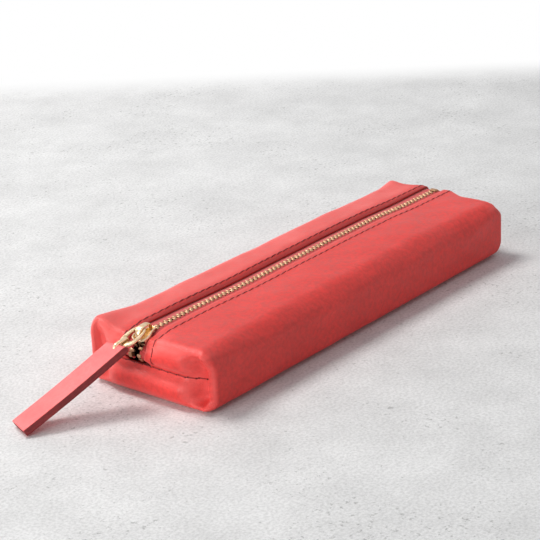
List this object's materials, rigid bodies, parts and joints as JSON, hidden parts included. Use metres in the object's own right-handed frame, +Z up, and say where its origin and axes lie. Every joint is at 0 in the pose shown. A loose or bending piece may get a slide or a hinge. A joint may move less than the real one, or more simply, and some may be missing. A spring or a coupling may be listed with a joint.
{
  "type": "pen pouch",
  "caption": "Long, low leather pen pouch with a metal zip along the top and down both ends, boxed corners, a pear-shaped pull ring, a wire link and a folded leather pull strip.",
  "frame": {"origin": "middle of the flat underside", "axes": "+X along the pouch from the slider's end to the other end, +Y to the side that the zip lies nearer to, +Z up out of the top with the zip"},
  "size_m": [0.238, 0.057, 0.0263],
  "materials": {
    "panel_leather": "soft red leather with a fine grain and a satin surface",
    "strip_leather": "red leather, folded and glued, with dark painted edges",
    "zip_tape": "woven red tape",
    "teeth_brass": "polished pale brass",
    "plated_metal": "pale gold plating on cast metal and wire",
    "sewing_thread": "dark red twisted thread"
  },
  "bodies": {
    "pouch": {"body_panel": "panel_leather", "zip_tape_left": "zip_tape", "zip_tape_right": "zip_tape", "zip_teeth_left": "teeth_brass", "zip_teeth_right": "teeth_brass", "top_stop_left": "teeth_brass", "top_stop_right": "teeth_brass", "bottom_stop": "teeth_brass", "zip_stitching_left": "sewing_thread", "zip_stitching_right": "sewing_thread", "near_end_stitching": "sewing_thread", "far_end_stitching": "sewing_thread", "near_left_corner_stitching": "sewing_thread", "near_right_corner_stitching": "sewing_thread", "far_left_corner_stitching": "sewing_thread", "far_right_corner_stitching": "sewing_thread"},
    "slider": {"slider_body": "plated_metal", "slider_crown": "plated_metal"},
    "ring": {"pull_ring": "plated_metal"},
    "link": {"pull_link": "plated_metal"},
    "strip": {"pull_strip": "strip_leather"}
  },
  "joints": [
    {"name": "slider_slide", "type": "slide", "parent": "pouch", "child": "slider", "axis": [1, 0, 0], "range_m": [0, 0.168], "deforming": ["zip_teeth_left", "zip_teeth_right", "pull_strip"]},
    {"name": "ring_hinge", "type": "hinge", "parent": "slider", "child": "ring", "pos_m": [-0.0898, 0.0048, 0.0246], "axis": [0, 1, 0], "range_deg": [0, 135]},
    {"name": "link_hinge", "type": "hinge", "parent": "ring", "child": "link", "pos_m": [-0.09987, 0.0048, 0.023], "axis": [0, 1, 0], "range_deg": [0, 45]},
    {"name": "strip_swing", "type": "hinge", "parent": "link", "child": "strip", "pos_m": [-0.1044, 0.0048, 0.02099], "axis": [0, 0, 1], "range_deg": [-25, 25]}
  ]
}
